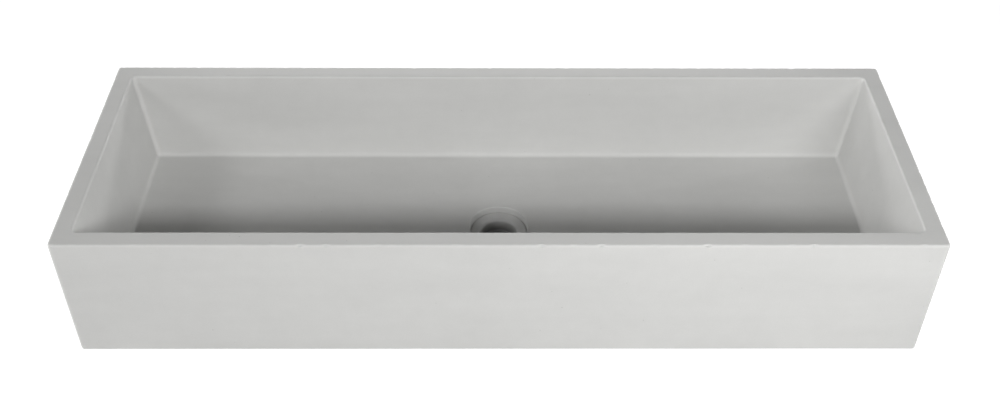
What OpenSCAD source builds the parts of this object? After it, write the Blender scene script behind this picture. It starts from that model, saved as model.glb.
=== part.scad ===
/* [Basin] */
// Length from end to end
basin_length = 914; // [500:1:1400]
// Depth from the front face to the back face
basin_depth = 313; // [220:1:480]
// Height from the base to the rim
basin_height = 157; // [100:1:260]
// Width of the flat rim round the bowl
rim_width = 20.5; // [12:0.5:40]
// How far each bowl wall comes in between the rim and its foot
wall_lean = 13.5; // [4:0.5:30]
// Radius of the outer edges
outer_edge = 2.5; // [1:0.25:6]
// Radius of the edge between the rim and the bowl
rim_edge = 2.5; // [1:0.25:5]
// Radius of the bowl's corners and of the foot of its walls
bowl_corner = 5; // [3:0.5:12]

/* [Floor] */
// Fall of the floor from the foot of the walls to the outlet
floor_fall = 7; // [2:0.5:14]
// Depth of the round recess that holds the flange
recess_depth = 12.4; // [8:0.1:18]
// How much wider the recess is at its top than at its foot, on each side
recess_draft = 0.9; // [0:0.1:3]
// Radius of the edge between the floor and the recess
recess_edge = 1; // [0.5:0.25:3]
// Thickness of the concrete that the waste clamps
deck_thickness = 13; // [10:0.5:30]
// Bevel at the top of the outlet hole
hole_bevel = 3; // [1:0.5:5]
// Diameter of the pocket under the outlet
pocket_diameter = 100; // [90:1:140]

/* [Waste] */
// Diameter of the flange
flange_diameter = 64; // [62:0.5:76]
// Thickness of the flange at its edge
flange_thickness = 3; // [2:0.25:4]
// Slope of the top of the flange, in degrees
flange_slope = 12; // [4:1:16]
// Radius of the turn from the flange into the throat
throat_turn = 3.5; // [2:0.25:6]
// Diameter of the throat
throat_diameter = 43; // [36:0.5:44]
// Diameter over the thread
thread_diameter = 47.8; // [47:0.1:49]
// Pitch of the thread
thread_pitch = 2.3; // [1.5:0.1:3]
// Height of the thread
thread_height = 1.1; // [0.6:0.1:1.4]
// Diameter of the socket that takes the outlet pipe
socket_diameter = 38.6; // [30:0.1:39]
// Length of the socket
socket_length = 12; // [8:0.5:14]

/* [Seals and nut] */
// Thickness of the seal under the flange
flange_seal_thickness = 1.5; // [0.5:0.25:3]
// How far the seal under the flange stays back from the bevel of the outlet hole
flange_seal_setback = 0.5; // [0.25:0.25:1.5]
// Thickness of the rubber seal under the deck
deck_seal_thickness = 4; // [2:0.5:6]
// Diameter of the rubber seal and of the washer below it
deck_seal_diameter = 68; // [62:1:80]
// Thickness of the slip washer
slip_washer_thickness = 1.5; // [0.5:0.25:3]
// Height of the lock nut
nut_height = 7.5; // [5:0.5:12]
// Width of the lock nut across its flats
nut_across_flats = 60; // [56:1:70]
// Bevel on the corners of the lock nut
nut_bevel = 1.5; // [0.5:0.25:2.5]

/* [Clearances] */
// Space round the flange at the foot of the recess
flange_clearance = 1; // [0.5:0.1:3]
// Space on each side of the seal that fills the gap round the flange
edge_seal_clearance = 0.1; // [0.05:0.05:0.2]
// Space round the thread in the outlet hole
hole_clearance = 1.1; // [0.5:0.1:2]
// Space round the thread in the seal and the washer
seal_clearance = 0.4; // [0.2:0.05:0.8]
// Space round the thread in the lock nut
thread_clearance = 0.15; // [0.05:0.05:0.4]
// Space between the lock nut and what the basin stands on
nut_ground_clearance = 2; // [1:0.5:5]
// Space between the end of the waste and what the basin stands on
waste_ground_clearance = 1; // [0.5:0.5:3]

/* [Hidden] */

// Heights, from the base up.
washer_z = nut_ground_clearance + nut_height;
deck_seal_z = washer_z + slip_washer_thickness;
pocket_z = deck_seal_z + deck_seal_thickness;
seat_z = pocket_z + deck_thickness;
flange_z = seat_z + flange_seal_thickness;
flange_top_z = flange_z + flange_thickness;
outlet_z = seat_z + recess_depth;
foot_z = outlet_z + floor_fall;
bowl_depth = basin_height - foot_z;

// Radii about the outlet's axis.
flange_radius = flange_diameter / 2;
flange_lip = flange_thickness / 6;
thread_radius = thread_diameter / 2;
throat_radius = throat_diameter / 2;
socket_radius = socket_diameter / 2;
hole_radius = thread_radius + hole_clearance;
recess_foot_radius = flange_radius + flange_clearance;
recess_top_radius = recess_foot_radius + recess_draft;

// The bowl's walls, whose outline stands square above the foot of each wall.
wall_angle = atan(wall_lean / bowl_depth);
foot_length = basin_length - 2 * (rim_width + wall_lean);
foot_depth = basin_depth - 2 * (rim_width + wall_lean);

// Overlap of a cut with the air beyond it, and the steps of the rounded edges.
over = 1;
edge_steps = 3;
turn_steps = 10;
thin = 0.01;

// Points of an arc, from one angle to another.
function arc_points(centre, radius, from, to, steps) =
    [for (i = [0:steps]) let (a = from + (to - from) * i / steps) centre + radius * [cos(a), sin(a)]];

// How far the bowl's walls have opened out at a height, from their feet.
function wall_spread(z) = (z - foot_z) * tan(wall_angle);

// A rectangle with round corners, about its own centre.
module round_rectangle(size, radius) {
    square([size[0] - 2 * radius, size[1]], center = true);
    square([size[0], size[1] - 2 * radius], center = true);
    for (x = [-1, 1], y = [-1, 1])
        translate([x * (size[0] / 2 - radius), y * (size[1] / 2 - radius)])
            circle(radius, $fn = 48);
}

// The casting's outside: a block whose edges are all rounded over.
module outer_block() {
    intersection() {
        linear_extrude(basin_height)
            round_rectangle([basin_length, basin_depth], outer_edge);
        translate([0, basin_depth / 2, basin_height / 2])
            rotate([90, 0, 0])
                linear_extrude(basin_depth)
                    round_rectangle([basin_length, basin_height], outer_edge);
        translate([-basin_length / 2, 0, basin_height / 2])
            rotate([90, 0, 90])
                linear_extrude(basin_length)
                    round_rectangle([basin_depth, basin_height], outer_edge);
    }
}

// Balls in the bowl's four corners, each touching both walls at the height of its centre.
module corner_balls(z) {
    inset = bowl_corner / cos(wall_angle) - wall_spread(z);
    for (x = [-1, 1], y = [-1, 1])
        translate([x * (foot_length / 2 - inset), y * (foot_depth / 2 - inset), z])
            sphere(bowl_corner, $fn = 32);
}

// A thin slab of the bowl's outline, spread out from the foot of the walls.
module bowl_slab(z, spread) {
    translate([0, 0, z])
        linear_extrude(thin)
            round_rectangle([foot_length + 2 * spread, foot_depth + 2 * spread], bowl_corner);
}

// The bowl: leaning walls, round corners and a floor that falls to the outlet.
module bowl() {
    hull() {
        corner_balls(foot_z + bowl_corner);
        corner_balls(basin_height + bowl_corner);
        translate([0, 0, outlet_z])
            cylinder(h = thin, r = recess_top_radius + recess_edge, $fn = 64);
    }
}

// The rounded edge between the bowl's walls and the rim.
module rim_rounding() {
    edge_z = basin_height - rim_edge;
    edge_centre = [wall_spread(edge_z) + rim_edge / cos(wall_angle), edge_z];
    edge_points = arc_points(edge_centre, rim_edge, 180 - wall_angle, 90, edge_steps);
    for (i = [0:edge_steps - 1])
        hull() {
            bowl_slab(edge_points[i][1], edge_points[i][0]);
            bowl_slab(edge_points[i + 1][1], edge_points[i + 1][0]);
        }
}

// The recess for the flange, with a leaning wall and a rounded upper edge.
module recess() {
    edge_centre = [recess_top_radius + recess_edge, outlet_z - recess_edge];
    rotate_extrude($fn = 96)
        polygon(concat(
            [[0, seat_z], [recess_foot_radius, seat_z]],
            arc_points(edge_centre, recess_edge, 180, 90, edge_steps),
            [[edge_centre[0], outlet_z + over], [0, outlet_z + over]]
        ));
}

// The outlet hole, bevelled at its top, and the pocket under it.
module outlet_hole() {
    translate([0, 0, pocket_z - over])
        cylinder(h = deck_thickness + 2 * over, r = hole_radius, $fn = 96);
    translate([0, 0, seat_z - hole_bevel])
        cylinder(h = hole_bevel, r1 = hole_radius, r2 = hole_radius + hole_bevel, $fn = 96);
    translate([0, 0, -over])
        cylinder(h = pocket_z + over, d = pocket_diameter, $fn = 96);
}

// The basin, cast in one piece.
module basin() {
    color([0.70, 0.70, 0.69])
        difference() {
            outer_block();
            bowl();
            rim_rounding();
            recess();
            outlet_hole();
        }
}

// The waste: a dished flange and a threaded barrel, turned in one piece.
module waste_body() {
    end_z = waste_ground_clearance;
    socket_z = end_z + socket_length;
    neck = hole_bevel;
    root_radius = thread_radius - thread_height;
    slope_start = [flange_radius - flange_lip, flange_top_z];
    turn_x = throat_radius + throat_turn * (1 - sin(flange_slope));
    turn_top_z = flange_top_z - (slope_start[0] - turn_x) * tan(flange_slope);
    turn_centre = [throat_radius + throat_turn, turn_top_z - throat_turn * cos(flange_slope)];
    thread_top_z = flange_z - neck;
    turns = floor((thread_top_z - end_z) / thread_pitch) - 1;
    thread_points = [for (i = [turns - 1:-1:0], k = [1, 0.5])
        [k == 1 ? root_radius : thread_radius, end_z + (i + k) * thread_pitch]];
    color([0.66, 0.66, 0.65])
        rotate_extrude($fn = 96)
            polygon(concat(
                [[socket_radius, end_z], [socket_radius, socket_z]],
                [[throat_radius, socket_z + abs(throat_radius - socket_radius)]],
                arc_points(turn_centre, throat_turn, 180, 90 + flange_slope, turn_steps),
                arc_points([slope_start[0], flange_top_z - flange_lip], flange_lip, 90, 0, edge_steps),
                [[flange_radius, flange_z], [thread_radius + neck, flange_z]],
                [[thread_radius, flange_z - neck], [thread_radius, end_z + (turns + 0.5) * thread_pitch]],
                thread_points,
                [[root_radius, end_z]]
            ));
}

// A flat ring about the outlet's axis.
module ring(z, height, outer_radius, inner_radius) {
    translate([0, 0, z])
        difference() {
            cylinder(h = height, r = outer_radius, $fn = 96);
            translate([0, 0, -over])
                cylinder(h = height + 2 * over, r = inner_radius, $fn = 96);
        }
}

// The soft seal: a ring under the flange, with an upstand that fills the gap round its edge.
module flange_seal() {
    inner_radius = hole_radius + hole_bevel + flange_seal_setback;
    outer_radius = recess_foot_radius - edge_seal_clearance;
    upstand_radius = flange_radius + edge_seal_clearance;
    upstand_z = flange_top_z - flange_lip;
    color([0.66, 0.66, 0.64])
        rotate_extrude($fn = 96)
            polygon([
                [inner_radius, seat_z],
                [outer_radius, seat_z],
                [outer_radius, upstand_z],
                [upstand_radius, upstand_z],
                [upstand_radius, flange_z],
                [inner_radius, flange_z]
            ]);
}

// The rubber seal under the deck.
module deck_seal() {
    color([0.10, 0.10, 0.10])
        ring(deck_seal_z, deck_seal_thickness, deck_seal_diameter / 2, thread_radius + seal_clearance);
}

// The washer that lets the lock nut turn without dragging the rubber.
module slip_washer() {
    color([0.45, 0.20, 0.12])
        ring(washer_z, slip_washer_thickness, deck_seal_diameter / 2, thread_radius + seal_clearance);
}

// The lock nut: a hexagon with its corners bevelled, on the waste's thread.
module lock_nut() {
    corner_radius = nut_across_flats / 2 / cos(30);
    color([0.78, 0.62, 0.32])
        translate([0, 0, nut_ground_clearance])
            difference() {
                intersection() {
                    cylinder(h = nut_height, r = corner_radius, $fn = 6);
                    rotate_extrude($fn = 96)
                        polygon([
                            [0, 0],
                            [corner_radius - nut_bevel, 0],
                            [corner_radius, nut_bevel],
                            [corner_radius, nut_height - nut_bevel],
                            [corner_radius - nut_bevel, nut_height],
                            [0, nut_height]
                        ]);
                }
                translate([0, 0, -over])
                    cylinder(h = nut_height + 2 * over, r = thread_radius + thread_clearance, $fn = 96);
            }
}

basin();
waste_body();
flange_seal();
deck_seal();
slip_washer();
lock_nut();
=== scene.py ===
import math

import bpy
import numpy as np
from mathutils import Matrix, Vector, noise


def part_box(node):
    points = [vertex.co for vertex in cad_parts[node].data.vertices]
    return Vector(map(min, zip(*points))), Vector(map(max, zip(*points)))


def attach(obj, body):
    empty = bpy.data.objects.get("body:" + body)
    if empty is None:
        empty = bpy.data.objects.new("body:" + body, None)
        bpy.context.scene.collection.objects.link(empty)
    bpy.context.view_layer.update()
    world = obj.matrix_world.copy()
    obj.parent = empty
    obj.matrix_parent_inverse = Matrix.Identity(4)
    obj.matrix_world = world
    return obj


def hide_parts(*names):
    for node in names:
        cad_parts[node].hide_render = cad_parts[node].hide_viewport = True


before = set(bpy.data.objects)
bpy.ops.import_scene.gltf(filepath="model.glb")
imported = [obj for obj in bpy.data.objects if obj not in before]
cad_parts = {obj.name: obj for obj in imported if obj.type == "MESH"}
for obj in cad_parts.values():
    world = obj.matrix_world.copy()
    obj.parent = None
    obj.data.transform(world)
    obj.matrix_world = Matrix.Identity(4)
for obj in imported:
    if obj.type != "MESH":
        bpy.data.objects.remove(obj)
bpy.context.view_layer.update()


# ---- The basin ----------------------------------------------------------------------------------
# One casting in light grey concrete with glass fibre in the mix: four thin, straight walls, a flat
# rim and a floor that falls to a round recess. It comes out of a smooth mould and is sealed matt,
# so its faces are faintly clouded, with pinholes, and its edges are rounded and a little nibbled.

mm = 0.001
basin_low, basin_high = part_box("basin")
half_length = (basin_high.x - basin_low.x) / 2
half_depth = (basin_high.y - basin_low.y) / 2
rim_z = basin_high.z
concrete_grey = (0.5, 0.5, 0.49)

# The walls and the rim.
rim_width = 20.5 * mm
wall_lean = 13.5 * mm
outer_edge = 2.5 * mm
outer_corner = 4 * mm
rim_edge = 2.5 * mm
bowl_corner = 5 * mm

# The floor, the recess and hole in it, and the pocket under it.
outlet_z = 40.4 * mm
floor_fall = 7 * mm
floor_corner = 1 * mm
seat_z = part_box("flange_seal")[0].z
recess_foot_radius = 33 * mm
recess_draft = 0.9 * mm
recess_edge = 1 * mm
hole_radius = 25 * mm
hole_bevel = 3 * mm
pocket_radius = 50 * mm
pocket_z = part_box("deck_seal")[1].z

# What follows from these sizes.
foot_z = outlet_z + floor_fall
foot_half_length = half_length - rim_width - wall_lean
foot_half_depth = half_depth - rim_width - wall_lean
lean = wall_lean / (rim_z - foot_z)
lean_angle = math.degrees(math.atan(lean))
foot_reach = bowl_corner * math.tan(math.radians(90 - lean_angle) / 2)
recess_top_radius = recess_foot_radius + recess_draft

# Points on each side of a ring, and the gap to the close ring that keeps a corner crisp.
long_points = 400
short_points = 128
corner_points = 8
crisp = 0.3 * mm

# How widely the floor turns at its corners near the outlet, and in its fan.
floor_turn = 100 * mm
fan_corner = 70 * mm

# How far the casting strays from true, over what length, and where its three waves start.
stray = 0.25 * mm
stray_length = 160 * mm
wave_starts = [Vector((0.0, 0.0, 0.0)), Vector((31.4, 0.0, 0.0)), Vector((0.0, 47.2, 0.0))]

# The bites along the outer edge, and a few larger chips by their place along the front.
bite_depth = 1.1 * mm
bite_length = 7 * mm
bite_rarity = 0.15
chips = {
    -0.202: 1.6 * mm,
    -0.176: 1.2 * mm,
    0.042: 1.3 * mm,
    0.103: 1.5 * mm,
    0.21: 2 * mm,
    0.318: 1.2 * mm,
}
chip_half_length = 3.5 * mm
# How much paler the recess's round edge is painted: partly wear, partly painted highlight.
recess_wear_and_highlight = 0.7

# Pinholes: the size of the cells that may hold one, and how deep they are.
pinhole_cell = 11 * mm
pinhole_depth = 0.25 * mm


def arc(start, end, steps):
    """Angles in radians from one in degrees to another."""
    return np.radians(np.linspace(start, end, steps))


def arc_points(centre, radius, start, end, steps):
    """Points of an arc round a centre, from one angle in degrees to another."""
    turns = arc(start, end, steps)
    return np.array(centre) + radius * np.column_stack([np.cos(turns), np.sin(turns)])


def outline(reach_x, reach_y, corner):
    """Points round a rectangle with round corners, always as many, from the back of the right end."""
    points = []
    for quarter, (x, y) in enumerate([(1, 1), (-1, 1), (-1, -1), (1, -1)]):
        centre = np.array([x * (reach_x - corner), y * (reach_y - corner)])
        bend = arc_points(centre, corner, 90 * quarter, 90 * quarter + 90, corner_points)
        along_length = quarter % 2 == 0
        next_centre = centre * ((-1, 1) if along_length else (1, -1))
        next_start = next_centre + bend[-1] - centre
        count = long_points if along_length else short_points
        steps = np.linspace(0, 1, count + 2)[1:-1, None]
        points += [bend, bend[-1] + (next_start - bend[-1]) * steps]
    return np.concatenate(points)


def outside(inset):
    """The casting's outline, drawn in by an inset."""
    return outline(half_length - inset, half_depth - inset, outer_corner - inset)


def inside(spread, corner):
    """The bowl's outline, spread out from the foot of its walls."""
    return outline(foot_half_length + spread, foot_half_depth + spread, corner)


def blend(start, end, share):
    """An outline that is a share of the way from one to another."""
    return start * (1 - share) + end * share


# The direction from the outlet of each point of a ring.
fan = outline(foot_half_length, foot_half_depth, fan_corner)
fan /= np.linalg.norm(fan, axis=1)[:, None]


def bites(flat):
    """How deep the top outer edge is nibbled at each point, with the chips along the front."""
    rough = np.array([noise.noise(Vector((x, y, 0)) / bite_length) for x, y in flat])
    depth = bite_depth * np.clip(rough - bite_rarity, 0, 1)
    for place, size in chips.items():
        near = 1 - ((flat[:, 0] - place) / chip_half_length) ** 2
        depth += size * np.clip(near, 0, 1) ** 2 * (flat[:, 1] < 0)
    return depth


def outer_rings():
    """The underside and the outer faces, with round edges, as (outline, height, paler edge share: wear
    and painted highlight).
    """
    rings = [(fan * (pocket_radius + crisp), 0, 0)]
    for share in (0.05, 0.4, 0.8, 0.98):
        rings.append((blend(fan * pocket_radius, outside(outer_edge), share), 0, 0))
    for turn in arc(0, 90, 4):
        inset = outer_edge * (1 - math.sin(turn))
        rings.append((outside(inset), outer_edge * (1 - math.cos(turn)), math.sin(2 * turn)))
    for share in (0.02, 0.15, 0.3, 0.45, 0.6, 0.75, 0.88, 0.98):
        rings.append((outside(0), outer_edge + (rim_z - 2 * outer_edge) * share, 0))
    for turn in arc(0, 90, 7):
        inset = outer_edge * (1 - math.cos(turn))
        z = rim_z - outer_edge * (1 - math.sin(turn))
        flat = outside(inset)
        bite = math.sin(2 * turn) * bites(flat)
        away = flat - outside(inset + mm)
        away /= np.linalg.norm(away, axis=1)[:, None]
        rings.append((flat - away * bite[:, None], z - bite, math.sin(2 * turn)))
    return rings


def bowl_rings():
    """The flat rim, its round inner edge, the leaning walls and the round foot below them."""
    rings = []
    lean_sine = math.sin(math.radians(lean_angle))
    lean_cosine = math.cos(math.radians(lean_angle))
    edge_z = rim_z - rim_edge
    edge_reach = rim_edge / lean_cosine
    edge_centre = (edge_z - foot_z) * lean
    rim_inner = inside(edge_centre + edge_reach, bowl_corner + edge_reach)
    for share in (0.04, 0.35, 0.65, 0.95):
        rings.append((blend(outside(outer_edge), rim_inner, share), rim_z, 0))
    for turn in arc(90, 180 - lean_angle, 7):
        across = edge_reach + rim_edge * math.cos(turn)
        flat = inside(edge_centre + across, bowl_corner + across)
        rings.append((flat, edge_z + rim_edge * math.sin(turn), math.sin(2 * turn - math.pi)))
    wall_top = edge_z + rim_edge * lean_sine
    wall_foot = foot_z + bowl_corner * (1 - lean_sine)
    for share in (0.015, 0.12, 0.25, 0.4, 0.55, 0.7, 0.85, 0.975):
        z = wall_top + (wall_foot - wall_top) * share
        rings.append((inside((z - foot_z) * lean, bowl_corner), z, 0))
    for turn in arc(-lean_angle, -90, 6):
        across = bowl_corner * math.cos(turn)
        corner = max(bowl_corner * (1 - lean_cosine) + across, floor_corner)
        z = foot_z + bowl_corner * (1 + math.sin(turn))
        rings.append((inside(across - foot_reach, corner), z, 0))
    return rings


def floor_rings():
    """The floor, which falls along lines that fan out from the recess, and the recess's edge."""
    rings = []
    round_outlet = fan * (recess_top_radius + recess_edge)
    for way in np.linspace(0.99, 0.1, 15):
        share = way ** 2
        floor_outline = inside(-foot_reach, floor_corner + floor_turn * (1 - share))
        rings.append((blend(round_outlet, floor_outline, share), outlet_z + floor_fall * share, 0))
    for turn in arc(90, 180, 5):
        radius = recess_top_radius + recess_edge * (1 + math.cos(turn))
        z = outlet_z - recess_edge * (1 - math.sin(turn))
        rings.append((fan * radius, z, recess_wear_and_highlight * math.sin(2 * turn - math.pi)))
    return rings


def outlet_rings():
    """The recess, the bevelled hole and the pocket under it."""
    section = [
        (recess_top_radius, outlet_z - recess_edge - crisp),
        (recess_foot_radius, seat_z + crisp),
        (recess_foot_radius - crisp, seat_z),
        (hole_radius + hole_bevel, seat_z),
        (hole_radius, seat_z - hole_bevel),
        (hole_radius, pocket_z + crisp),
        (hole_radius + crisp, pocket_z),
        (pocket_radius - crisp, pocket_z),
        (pocket_radius, pocket_z - crisp),
        (pocket_radius, crisp),
    ]
    return [(fan * radius, z, 0) for radius, z in section]


def ring_at(flat, z):
    """A ring of 3-D points from flat ones and their height."""
    return np.column_stack([flat, np.broadcast_to(z, len(flat))])


def true_to_the_mould(ring):
    """The mould's slow waves, which draw every face in a little, and the base not at all."""
    places = [Vector(point) / stray_length for point in ring]
    waves = np.array([[noise.noise(place + start) for start in wave_starts] for place in places])
    inward = stray * (1 + waves) / 2
    return ring * (1 - inward / np.array([half_length, half_depth, rim_z]))


def skin(name, rings, sharp_angle=None):
    """A closed mesh over rings of equal counts, in which the last ring joins the first."""
    count = len(rings[0])
    around = np.arange(count)
    faces = []
    for i in range(len(rings)):
        here = i * count + around
        there = (i + 1) % len(rings) * count + around
        faces.append(np.column_stack([here, np.roll(here, -1), np.roll(there, -1), there]))
    mesh = bpy.data.meshes.new(name)
    mesh.from_pydata(np.concatenate(rings).tolist(), [], np.concatenate(faces).tolist())
    mesh.shade_smooth()
    if sharp_angle:
        mesh.set_sharp_from_angle(angle=math.radians(sharp_angle))
    piece = bpy.data.objects.new(name, mesh)
    bpy.context.scene.collection.objects.link(piece)
    flat_faces = piece.modifiers.new("true flat faces", "WEIGHTED_NORMAL")
    flat_faces.weight = 60
    flat_faces.keep_sharp = True
    return piece


def build_basin():
    """The casting, from the pocket under it, round the outside and down through the bowl."""
    rings = outer_rings() + bowl_rings() + floor_rings() + outlet_rings()
    piece = skin("cast_basin", [true_to_the_mould(ring_at(flat, z)) for flat, z, wear_and_highlight_share in rings])
    # Each ring's share of the paler edge tone, partly wear and partly painted highlight where arrises
    # catch light.
    wear_and_highlight = np.repeat([float(wear_and_highlight_share) for flat, z, wear_and_highlight_share in rings], len(fan))
    attribute = piece.data.attributes.new("wear_and_highlight", "FLOAT", "POINT")
    attribute.data.foreach_set("value", wear_and_highlight.astype(np.float32))
    return piece


def node(tree, kind, sockets=None, **settings):
    """Adds a shader node. Each socket takes a value or another node's output."""
    made = tree.nodes.new("ShaderNode" + kind)
    for name, value in settings.items():
        setattr(made, name, value)
    for key, value in (sockets or {}).items():
        if isinstance(value, bpy.types.NodeSocket):
            tree.links.new(value, made.inputs[key])
        else:
            made.inputs[key].default_value = value
    return made


def math_node(tree, operation, *values, clamp=False):
    """The result of a sum on values or other nodes' outputs."""
    return node(tree, "Math", dict(enumerate(values)), operation=operation, use_clamp=clamp).outputs[0]


def new_group(name, inputs, outputs):
    """An empty shader node group with named sockets, and its input and output nodes."""
    group = bpy.data.node_groups.new(name, "ShaderNodeTree")
    for socket, value in inputs.items():
        made = group.interface.new_socket(socket, in_out="INPUT", socket_type="NodeSocketFloat")
        made.default_value = value
    for socket in outputs:
        group.interface.new_socket(socket, in_out="OUTPUT", socket_type="NodeSocketFloat")
    return group, group.nodes.new("NodeGroupInput"), group.nodes.new("NodeGroupOutput")


def clouding_group():
    """A soft change of tone about 1, over patches of a given size in metres."""
    group, inlet, outlet = new_group("clouding", {"Size": 0.05, "Spread": 0.03}, ["Tone"])
    place = node(group, "TexCoord").outputs["Object"]
    scale = math_node(group, "DIVIDE", 1.0, inlet.outputs["Size"])
    cloud = node(group, "TexNoise", {"Vector": place, "Scale": scale, "Detail": 3.0, "Roughness": 0.55})
    centred = math_node(group, "SUBTRACT", cloud.outputs["Fac"], 0.5)
    swing = math_node(group, "MULTIPLY", centred, inlet.outputs["Spread"])
    tone = math_node(group, "MULTIPLY_ADD", swing, 4.0, 1.0)
    group.links.new(tone, outlet.inputs["Tone"])
    return group


def grain_group():
    """A fine tooth: its tone about 1 and its height in metres."""
    inputs = {"Size": 0.0006, "Spread": 0.05, "Depth": 0.00002}
    group, inlet, outlet = new_group("grain", inputs, ["Tone", "Height"])
    place = node(group, "TexCoord").outputs["Object"]
    scale = math_node(group, "DIVIDE", 1.0, inlet.outputs["Size"])
    tooth = node(group, "TexNoise", {"Vector": place, "Scale": scale, "Detail": 2.0, "Roughness": 0.6})
    centred = math_node(group, "SUBTRACT", tooth.outputs["Fac"], 0.5)
    swing = math_node(group, "MULTIPLY", centred, inlet.outputs["Spread"])
    group.links.new(math_node(group, "MULTIPLY_ADD", swing, 2.0, 1.0), outlet.inputs["Tone"])
    height = math_node(group, "MULTIPLY", centred, inlet.outputs["Depth"])
    group.links.new(height, outlet.inputs["Height"])
    return group


clouding = clouding_group()
grain = grain_group()


def use_group(tree, group, **values):
    """Places a shared group in a material with the values that this finish needs."""
    return node(tree, "Group", values, node_tree=group)


def start_material(name, roughness, metallic=0.0, shine=0.5):
    """A new material with its surface's plain values, and the surface node to link to."""
    material = bpy.data.materials.new(name)
    material.use_nodes = True
    surface = material.node_tree.nodes["Principled BSDF"]
    surface.inputs["Roughness"].default_value = roughness
    surface.inputs["Metallic"].default_value = metallic
    surface.inputs["Specular IOR Level"].default_value = shine
    return material, material.node_tree, surface


def toned(tree, colour, *tones):
    """A colour multiplied by several tones."""
    total = tones[0]
    for tone in tones[1:]:
        total = math_node(tree, "MULTIPLY", total, tone)
    return node(tree, "VectorMath", {0: colour, "Scale": total}, operation="SCALE").outputs["Vector"]


def set_relief(tree, surface, height):
    """Bumps the surface by a height in metres."""
    bump = node(tree, "Bump", {"Strength": 1.0, "Distance": 1.0, "Height": height})
    tree.links.new(bump.outputs["Normal"], surface.inputs["Normal"])


def concrete_material():
    """Sealed cast concrete: broad and small clouding, sandy grain, pinholes painted dark as painted
    shade, and paler edges from wear and painted highlight.
    """
    material, tree, surface = start_material("concrete", 0.62, shine=0.25)
    place = node(tree, "TexCoord").outputs["Object"]

    # Pour marks are drawn out along the casting.
    drawn_out = node(tree, "Mapping", {"Vector": place, "Scale": (0.18, 1.0, 1.0)}).outputs["Vector"]
    pour = node(tree, "TexNoise", {"Vector": drawn_out, "Scale": 28.0, "Detail": 4.0, "Roughness": 0.6})
    pour_tone = math_node(tree, "MULTIPLY_ADD", pour.outputs["Fac"], 0.12, 0.94)
    broad = use_group(tree, clouding, Size=0.13, Spread=0.018).outputs["Tone"]
    small = use_group(tree, clouding, Size=0.016, Spread=0.012).outputs["Tone"]
    sand = use_group(tree, grain, Size=0.0007, Spread=0.06, Depth=0.00003)

    # There is one pinhole to a cell, and only some break the surface.
    holes = node(tree, "TexVoronoi", {"Vector": place, "Scale": 1 / pinhole_cell, "Randomness": 1.0})
    chance = node(tree, "SeparateColor", {"Color": holes.outputs["Color"]}).outputs["Red"]
    reach = math_node(tree, "MULTIPLY_ADD", chance, 0.16, -0.09)
    within = math_node(tree, "SUBTRACT", reach, holes.outputs["Distance"])
    pinhole = math_node(tree, "MULTIPLY", within, 40.0, clamp=True)
    # Each pinhole is painted darker, as painted shade in its pit.
    pinhole_shade_tone = math_node(tree, "MULTIPLY_ADD", pinhole, -0.35, 1.0)

    # Edges are painted paler, unevenly: partly rubbed wear, partly a painted highlight where the rounded
    # arrises catch light.
    wear_and_highlight = node(tree, "Attribute", attribute_name="wear_and_highlight").outputs["Fac"]
    patches = node(tree, "TexNoise", {"Vector": place, "Scale": 90.0, "Detail": 3.0}).outputs["Fac"]
    wear_and_highlight_tone = math_node(tree, "MULTIPLY_ADD", math_node(tree, "MULTIPLY", wear_and_highlight, patches), 0.06, 1.0)

    tones = [pour_tone, broad, small, sand.outputs["Tone"], pinhole_shade_tone, wear_and_highlight_tone]
    tree.links.new(toned(tree, concrete_grey, *tones), surface.inputs["Base Color"])
    roughness = math_node(tree, "MULTIPLY_ADD", pour.outputs["Fac"], 0.2, 0.52)
    tree.links.new(roughness, surface.inputs["Roughness"])
    pit = math_node(tree, "MULTIPLY", pinhole, -pinhole_depth)
    set_relief(tree, surface, math_node(tree, "ADD", sand.outputs["Height"], pit))
    return material


basin = build_basin()
basin.data.materials.append(concrete_material())
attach(basin, "root")
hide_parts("basin")


# ---- The seal under the flange ------------------------------------------------------------------
# A soft grey ring that lies in the recess under the flange and stands up round the flange's edge,
# so that no water gets past it. It is pressed in and trimmed flush by hand.

seal_low, seal_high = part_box("flange_seal")
seal_thickness = 1.5 * mm
seal_upstand = 0.8 * mm
seal_setback = 0.5 * mm
seal_outer = seal_high.x
seal_inner = hole_radius + hole_bevel + seal_setback
seal_softness = 0.25 * mm
seal_grey = (0.47, 0.47, 0.46)
seal_tooth = 0.4 * mm

# Points round a turned piece.
round_points = 180
angles = np.linspace(0, 2 * math.pi, round_points, endpoint=False)
circle = np.column_stack([np.cos(angles), np.sin(angles)])


def towards(corner, neighbour, distance):
    """The point at a distance from a corner on the way to its neighbour."""
    way = neighbour - corner
    return corner + way / np.linalg.norm(way) * distance


def softened(corners, radius, steps=4):
    """A closed section with each corner rounded, as a list of (radius, z)."""
    points = []
    corners = [np.array(corner) for corner in corners]
    for before, corner, after in zip(corners[-1:] + corners[:-1], corners, corners[1:] + corners[:1]):
        start = towards(corner, before, radius)
        end = towards(corner, after, radius)
        for t in np.linspace(0, 1, steps):
            points.append(start * (1 - t) ** 2 + corner * 2 * t * (1 - t) + end * t ** 2)
    return points


def turned(name, section):
    """A closed section turned round the outlet's axis."""
    return skin(name, [ring_at(circle * radius, z) for radius, z in section])


def soft_material(name, colour, roughness, tooth):
    """A soft stuff, moulded or pressed, with a fine matt tooth and a little clouding."""
    material, tree, surface = start_material(name, roughness, shine=0.35)
    small = use_group(tree, clouding, Size=0.006, Spread=0.04).outputs["Tone"]
    fine = use_group(tree, grain, Size=tooth, Spread=0.2, Depth=tooth / 12)
    tree.links.new(toned(tree, colour, small, fine.outputs["Tone"]), surface.inputs["Base Color"])
    set_relief(tree, surface, fine.outputs["Height"])
    return material


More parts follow.
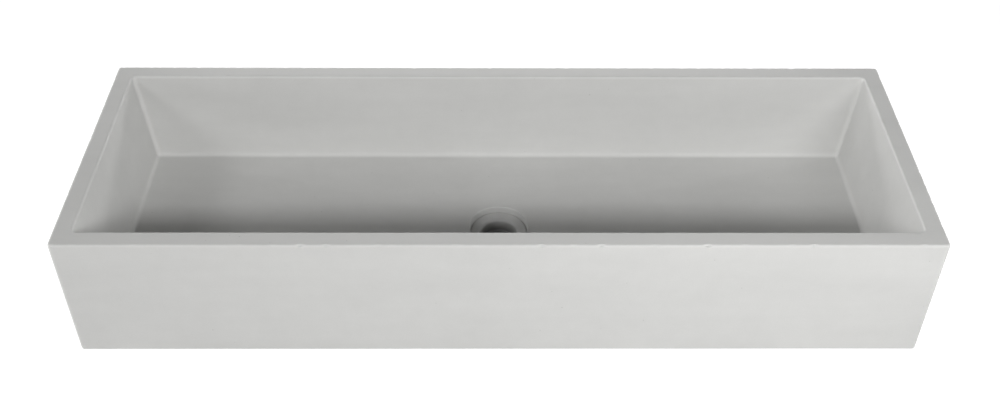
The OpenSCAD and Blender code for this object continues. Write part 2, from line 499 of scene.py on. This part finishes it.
flange_seal = turned("soft_flange_seal", softened([
    (seal_inner, seal_low.z),
    (seal_outer, seal_low.z),
    (seal_outer, seal_high.z),
    (seal_outer - seal_upstand, seal_high.z),
    (seal_outer - seal_upstand, seal_low.z + seal_thickness),
    (seal_inner, seal_low.z + seal_thickness),
], seal_softness))
flange_seal.data.materials.append(soft_material("seal", seal_grey, 0.6, seal_tooth))
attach(flange_seal, "root")
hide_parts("flange_seal")


# ---- The waste ----------------------------------------------------------------------------------
# The dished flange and the threaded barrel that the water leaves by, turned in one piece. The
# flange and throat have a matt coat in the basin's grey, and the thread takes the nut below.

waste_low, waste_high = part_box("waste_body")
flange_radius = waste_high.x
flange_top_z = waste_high.z
flange_thickness = 3 * mm
flange_lip = flange_thickness / 6
flange_slope = 12
throat_turn = 3.5 * mm
throat_radius = 21.5 * mm
socket_radius = 19.3 * mm
socket_length = 12 * mm
thread_radius = 23.9 * mm
thread_pitch = 2.3 * mm
thread_height = 1.1 * mm
thread_rings = 10
machined_edge = 0.3 * mm
bare_metal = (0.56, 0.53, 0.47)
turning_marks = 0.35 * mm

# The coat is painted darker down the throat, as painted shade in the hole: below which height, and to
# what share of its tone.
shade_painted_below = 28.5 * mm
throat_shade_tone = 0.3


def thread_ring(z, low_z, high_z):
    """A ring of the helical thread, which runs out over one pitch at either end."""
    phase = (z / thread_pitch - angles / (2 * math.pi)) % 1
    flank = 1 - np.abs(2 * phase - 1)
    rounded = flank * flank * (3 - 2 * flank)
    run_out = min(1, (z - low_z) / thread_pitch, (high_z - z) / thread_pitch)
    depth = thread_height * (1 - rounded * max(run_out, 0))
    return ring_at(circle * (thread_radius - depth)[:, None], z)


def waste_section():
    """The socket, the throat and the dished top of the flange, from the lower end up and out."""
    slope = math.radians(flange_slope)
    slope_start = flange_radius - flange_lip
    turn_radius = throat_radius + throat_turn * (1 - math.sin(slope))
    turn_z = flange_top_z - (slope_start - turn_radius) * math.tan(slope)
    socket_z = waste_low.z + socket_length
    step = throat_radius - socket_radius
    section = [
        (socket_radius + machined_edge, waste_low.z),
        (socket_radius, waste_low.z + machined_edge),
        (socket_radius, waste_low.z + machined_edge + crisp),
        (socket_radius, socket_z - crisp),
        (socket_radius, socket_z),
        (throat_radius, socket_z + step),
        (throat_radius, socket_z + step + crisp),
    ]
    turn_centre = (throat_radius + throat_turn, turn_z - throat_turn * math.cos(slope))
    section.extend(arc_points(turn_centre, throat_turn, 180, 90 + flange_slope, 12))
    section.append((slope_start - crisp, flange_top_z - crisp * math.tan(slope)))
    lip_centre = (slope_start, flange_top_z - flange_lip)
    section.extend(arc_points(lip_centre, flange_lip, 90 - flange_slope / 2, 0, 6))
    flange_z = flange_top_z - flange_thickness
    return section + [
        (flange_radius, flange_z + machined_edge),
        (flange_radius - machined_edge, flange_z),
        (thread_radius + hole_bevel + crisp, flange_z),
        (thread_radius + hole_bevel, flange_z),
        (thread_radius, flange_z - hole_bevel),
    ]


def build_waste():
    """The turned inside and flange, and then the thread, ring by ring down the barrel."""
    rings = [ring_at(circle * radius, z) for radius, z in waste_section()]
    thread_top = rings[-1][0, 2] - machined_edge
    thread_low = waste_low.z + machined_edge
    for z in np.arange(thread_top, thread_low, -thread_pitch / thread_rings):
        rings.append(thread_ring(z, thread_low, thread_top))
    root = thread_radius - thread_height
    rings.append(ring_at(circle * root, thread_low))
    rings.append(ring_at(circle * (root - machined_edge), waste_low.z))
    return skin("turned_waste", rings[::-1])


def turning_group():
    """Fine rings left by a turning tool round the outlet's axis: tone, height and radius."""
    inputs = {"Spacing": 0.0004, "Spread": 0.1, "Depth": 0.000004}
    group, inlet, outlet = new_group("turning", inputs, ["Tone", "Height", "Radius"])
    place = node(group, "TexCoord").outputs["Object"]
    axes = node(group, "SeparateXYZ", {"Vector": place})
    across = math_node(group, "POWER", axes.outputs["X"], 2.0)
    along = math_node(group, "POWER", axes.outputs["Y"], 2.0)
    radius = math_node(group, "SQRT", math_node(group, "ADD", across, along))
    path = math_node(group, "SUBTRACT", radius, axes.outputs["Z"])
    steps = math_node(group, "DIVIDE", path, inlet.outputs["Spacing"])
    marks = node(group, "TexNoise", {"W": steps, "Scale": 1.0, "Detail": 2.0}, noise_dimensions="1D")
    centred = math_node(group, "SUBTRACT", marks.outputs["Fac"], 0.5)
    swing = math_node(group, "MULTIPLY", centred, inlet.outputs["Spread"])
    group.links.new(math_node(group, "MULTIPLY_ADD", swing, 2.0, 1.0), outlet.inputs["Tone"])
    height = math_node(group, "MULTIPLY", centred, inlet.outputs["Depth"])
    group.links.new(height, outlet.inputs["Height"])
    group.links.new(radius, outlet.inputs["Radius"])
    return group


turning = turning_group()


def waste_material():
    """A matt baked coat in the basin's grey, painted darker down the throat as painted shade, and the
    masked barrel bare.
    """
    material, tree, surface = start_material("coated_metal", 0.6, shine=0.3)
    marks = use_group(tree, turning, Spacing=turning_marks, Spread=0.08, Depth=0.002 * mm)
    peel = use_group(tree, grain, Size=0.5 * mm, Spread=0.05, Depth=0.02 * mm)
    patches = use_group(tree, clouding, Size=0.01, Spread=0.03).outputs["Tone"]
    height = node(tree, "SeparateXYZ", {"Vector": node(tree, "TexCoord").outputs["Object"]}).outputs["Z"]
    middle_of_wall = (throat_radius + thread_radius) / 2
    outer = math_node(tree, "GREATER_THAN", marks.outputs["Radius"], middle_of_wall)
    below = math_node(tree, "LESS_THAN", height, flange_top_z - flange_thickness + machined_edge)
    bare = math_node(tree, "MULTIPLY", outer, below)
    # The coat's tone falls down the throat, as painted shade.
    depth = {
        "Value": height,
        "From Min": waste_low.z + socket_length,
        "From Max": shade_painted_below,
        "To Min": throat_shade_tone,
        "To Max": 1.0,
    }
    painted_throat_shade = node(tree, "MapRange", depth).outputs["Result"]
    coat = toned(tree, concrete_grey, peel.outputs["Tone"], patches, painted_throat_shade)
    metal = toned(tree, bare_metal, marks.outputs["Tone"], patches)

    # A Mix node's colours are its inputs 6 and 7 and its output 2.
    colour = node(tree, "Mix", {0: bare, 6: coat, 7: metal}, data_type="RGBA").outputs[2]
    tree.links.new(colour, surface.inputs["Base Color"])
    tree.links.new(bare, surface.inputs["Metallic"])
    tree.links.new(math_node(tree, "MULTIPLY_ADD", bare, -0.25, 0.6), surface.inputs["Roughness"])
    set_relief(tree, surface, math_node(tree, "ADD", marks.outputs["Height"], peel.outputs["Height"]))
    return material


waste_body = build_waste()
waste_body.data.materials.append(waste_material())
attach(waste_body, "root")
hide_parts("waste_body")


# ---- The rubber seal under the deck -------------------------------------------------------------
# A flat black ring, punched from sheet rubber, that the nut squeezes against the concrete from
# below. Its rims are a little rounded.

deck_seal_low, deck_seal_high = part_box("deck_seal")
thread_gap = 0.4 * mm
rubber_softness = 0.5 * mm
rubber_black = (0.03, 0.03, 0.03)
rubber_tooth = 0.3 * mm


def flat_ring(name, low, high, softness):
    """A ring of one thickness that slips over the thread."""
    inner_radius = thread_radius + thread_gap
    bottom = [(inner_radius, low.z), (high.x, low.z)]
    top = [(high.x, high.z), (inner_radius, high.z)]
    return turned(name, softened(bottom + top, softness))


deck_seal = flat_ring("rubber_deck_seal", deck_seal_low, deck_seal_high, rubber_softness)
deck_seal.data.materials.append(soft_material("rubber", rubber_black, 0.6, rubber_tooth))
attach(deck_seal, "root")
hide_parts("deck_seal")


# ---- The slip washer ----------------------------------------------------------------------------
# A thin disc of pressed red-brown fibre between the rubber and the nut, so that the nut turns
# without dragging the rubber round.

washer_low, washer_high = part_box("slip_washer")
washer_softness = 0.3 * mm
fibre_brown = (0.2, 0.06, 0.03)
fibre_tooth = 0.8 * mm

slip_washer = flat_ring("fibre_washer", washer_low, washer_high, washer_softness)
slip_washer.data.materials.append(soft_material("fibre", fibre_brown, 0.7, fibre_tooth))
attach(slip_washer, "root")
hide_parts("slip_washer")


# ---- The lock nut -------------------------------------------------------------------------------
# A thin brass hexagon, bevelled on both faces where the bar was turned before it was cut off. It
# screws up the waste's thread and draws the flange down on its seal.

nut_low, nut_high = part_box("lock_nut")
nut_corner_radius = nut_high.x
nut_bevel = 1.5 * mm
nut_gap = 0.15 * mm
nut_bore_radius = thread_radius + nut_gap
nut_bore_edge = 0.6 * mm
nut_sharp_angle = 25
brass_yellow = (0.6, 0.42, 0.15)
brass_roughness = 0.34


def build_nut():
    """Rings of a hexagon, cut back to a cone near each face, and the bore inside them."""
    flat_radius = nut_corner_radius * math.cos(math.pi / 6)
    hexagon = flat_radius / np.cos(angles % (math.pi / 3) - math.pi / 6)
    height = nut_high.z - nut_low.z
    shares = [0, 0.25, 0.5, 0.75, 1, 1.25]
    heights = [nut_bevel * share for share in shares]
    heights += [height - nut_bevel * share for share in reversed(shares)]
    rings = []
    for rise in heights:
        cone = nut_corner_radius - nut_bevel + min(rise, height - rise, nut_bevel)
        rings.append(ring_at(circle * np.minimum(hexagon, cone)[:, None], nut_low.z + rise))
    for radius, z in [
        (nut_bore_radius + nut_bore_edge, nut_high.z),
        (nut_bore_radius, nut_high.z - nut_bore_edge),
        (nut_bore_radius, nut_low.z + nut_bore_edge),
        (nut_bore_radius + nut_bore_edge, nut_low.z),
    ]:
        rings.append(ring_at(circle * radius, z))
    return skin("brass_nut", rings, sharp_angle=nut_sharp_angle)


def brass_material():
    """Bright turned brass, dulled in patches by handling."""
    material, tree, surface = start_material("brass", brass_roughness, metallic=1.0)
    marks = use_group(tree, turning, Spacing=turning_marks, Spread=0.12, Depth=0.0024 * mm)
    fine = use_group(tree, grain, Size=0.1 * mm, Spread=0.12, Depth=0.004 * mm)
    patches = use_group(tree, clouding, Size=0.008, Spread=0.08).outputs["Tone"]
    tones = [marks.outputs["Tone"], fine.outputs["Tone"], patches]
    tree.links.new(toned(tree, brass_yellow, *tones), surface.inputs["Base Color"])
    roughness = math_node(tree, "MULTIPLY", patches, brass_roughness)
    tree.links.new(roughness, surface.inputs["Roughness"])
    set_relief(tree, surface, math_node(tree, "ADD", marks.outputs["Height"], fine.outputs["Height"]))
    return material


lock_nut = build_nut()
lock_nut.data.materials.append(brass_material())
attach(lock_nut, "root")
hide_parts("lock_nut")


# ---- The studio ---------------------------------------------------------------------------------
# A plain white floor in a white surround, and a few large soft lamps round the basin. The floor
# glows for the eye alone, and not where the basin stands on it.

floor_reach = 4.0
floor_glow = 0.86
paper_tone = 0.8
seen_paper_tone = 0.3
lamp_aim = Vector((0, 0, 0.1))


def eye_rays(tree):
    """1 for what the camera sees by itself or in a gloss, 0 for light on the object."""
    path = node(tree, "LightPath")
    return math_node(tree, "MAXIMUM", path.outputs["Is Camera Ray"], path.outputs["Is Glossy Ray"])


def paper(name, glow):
    """White paper, which the eye sees glow, so that the shadows on it look faint."""
    material, tree, surface = start_material(name, 1.0, shine=0.0)
    surface.inputs["Emission Color"].default_value = (1, 1, 1, 1)
    seen = eye_rays(tree)
    tone = math_node(tree, "MULTIPLY_ADD", seen, seen_paper_tone - paper_tone, paper_tone)
    tree.links.new(tone, surface.inputs["Base Color"])
    tree.links.new(math_node(tree, "MULTIPLY", seen, glow), surface.inputs["Emission Strength"])
    return material


def build_floor():
    """A square of floor whose middle field lies under the basin."""
    xs = [-floor_reach, basin_low.x + outer_edge, basin_high.x - outer_edge, floor_reach]
    ys = [-floor_reach, basin_low.y + outer_edge, basin_high.y - outer_edge, floor_reach]
    corners = [(x, y, 0) for y in ys for x in xs]
    starts = [row + column for row in (0, 4, 8) for column in range(3)]
    fields = [(start, start + 1, start + 5, start + 4) for start in starts]
    middle_field = 4
    mesh = bpy.data.meshes.new("studio_floor")
    mesh.from_pydata(corners, [], fields)
    mesh.materials.append(paper("floor_paper", floor_glow))
    mesh.materials.append(paper("floor_under_basin", 0.0))
    mesh.polygons[middle_field].material_index = 1
    floor = bpy.data.objects.new("studio_floor", mesh)
    bpy.context.scene.collection.objects.link(floor)
    return floor


build_floor()

surround = bpy.data.worlds.new("surround")
bpy.context.scene.world = surround
surround.use_nodes = True
sky = surround.node_tree.nodes["Background"]
sky.inputs["Color"].default_value = (1, 1, 1, 1)
surround.node_tree.links.new(eye_rays(surround.node_tree), sky.inputs["Strength"])


def soft_lamp(name, azimuth, elevation, distance, size, power, spread=180):
    """A soft lamp that faces the bowl. Azimuth 0 is in front, and 90 is on the right."""
    lamp = bpy.data.lights.new(name, "AREA")
    lamp.shape = "RECTANGLE"
    lamp.size, lamp.size_y = size
    lamp.energy = power
    lamp.spread = math.radians(spread)
    holder = bpy.data.objects.new(name, lamp)
    bpy.context.scene.collection.objects.link(holder)
    turn, rise = math.radians(azimuth), math.radians(elevation)
    level = Vector((math.sin(turn), -math.cos(turn), 0))
    direction = level * math.cos(rise) + Vector((0, 0, math.sin(rise)))
    holder.location = lamp_aim + direction * distance
    holder.rotation_euler = direction.to_track_quat("Z", "Y").to_euler()


# Azimuth and elevation in degrees, distance and size in metres, power in watts.
soft_lamp("front_lamp", 0, 36, 3.4, (1.15, 0.46), 56)
soft_lamp("near_lamp", 32, 28, 1.3, (0.7, 0.25), 7.2)
soft_lamp("left_front_lamp", -60, 34, 2.4, (0.8, 0.5), 10)
soft_lamp("left_lamp", -90, 8, 3.2, (1.2, 0.8), 73)
soft_lamp("right_lamp", 90, 10, 3.2, (1.2, 0.8), 37)
soft_lamp("back_lamp", 180, 15, 0.7, (1.1, 0.1), 1.6, spread=90)


# ---- The camera ---------------------------------------------------------------------------------
# It stands in front of the basin, a little to the left of its middle, and looks down into it.

camera_place = (-0.0101, -1.0235, 0.9799)
looks_down = 41.41
looks_right = 0.628
leans = 0.449
lens_length = 42.655

camera = bpy.data.cameras.new("camera")
camera.sensor_width = 36
camera.lens = lens_length
viewer = bpy.data.objects.new("camera", camera)
bpy.context.scene.collection.objects.link(viewer)
heading = Matrix.Rotation(math.radians(-looks_right), 4, "Z")
tilt = Matrix.Rotation(math.radians(90 - looks_down), 4, "X")
roll = Matrix.Rotation(math.radians(leans), 4, "Z")
viewer.matrix_world = Matrix.Translation(camera_place) @ heading @ tilt @ roll
bpy.context.scene.camera = viewer
bpy.context.scene.view_settings.view_transform = "Standard"
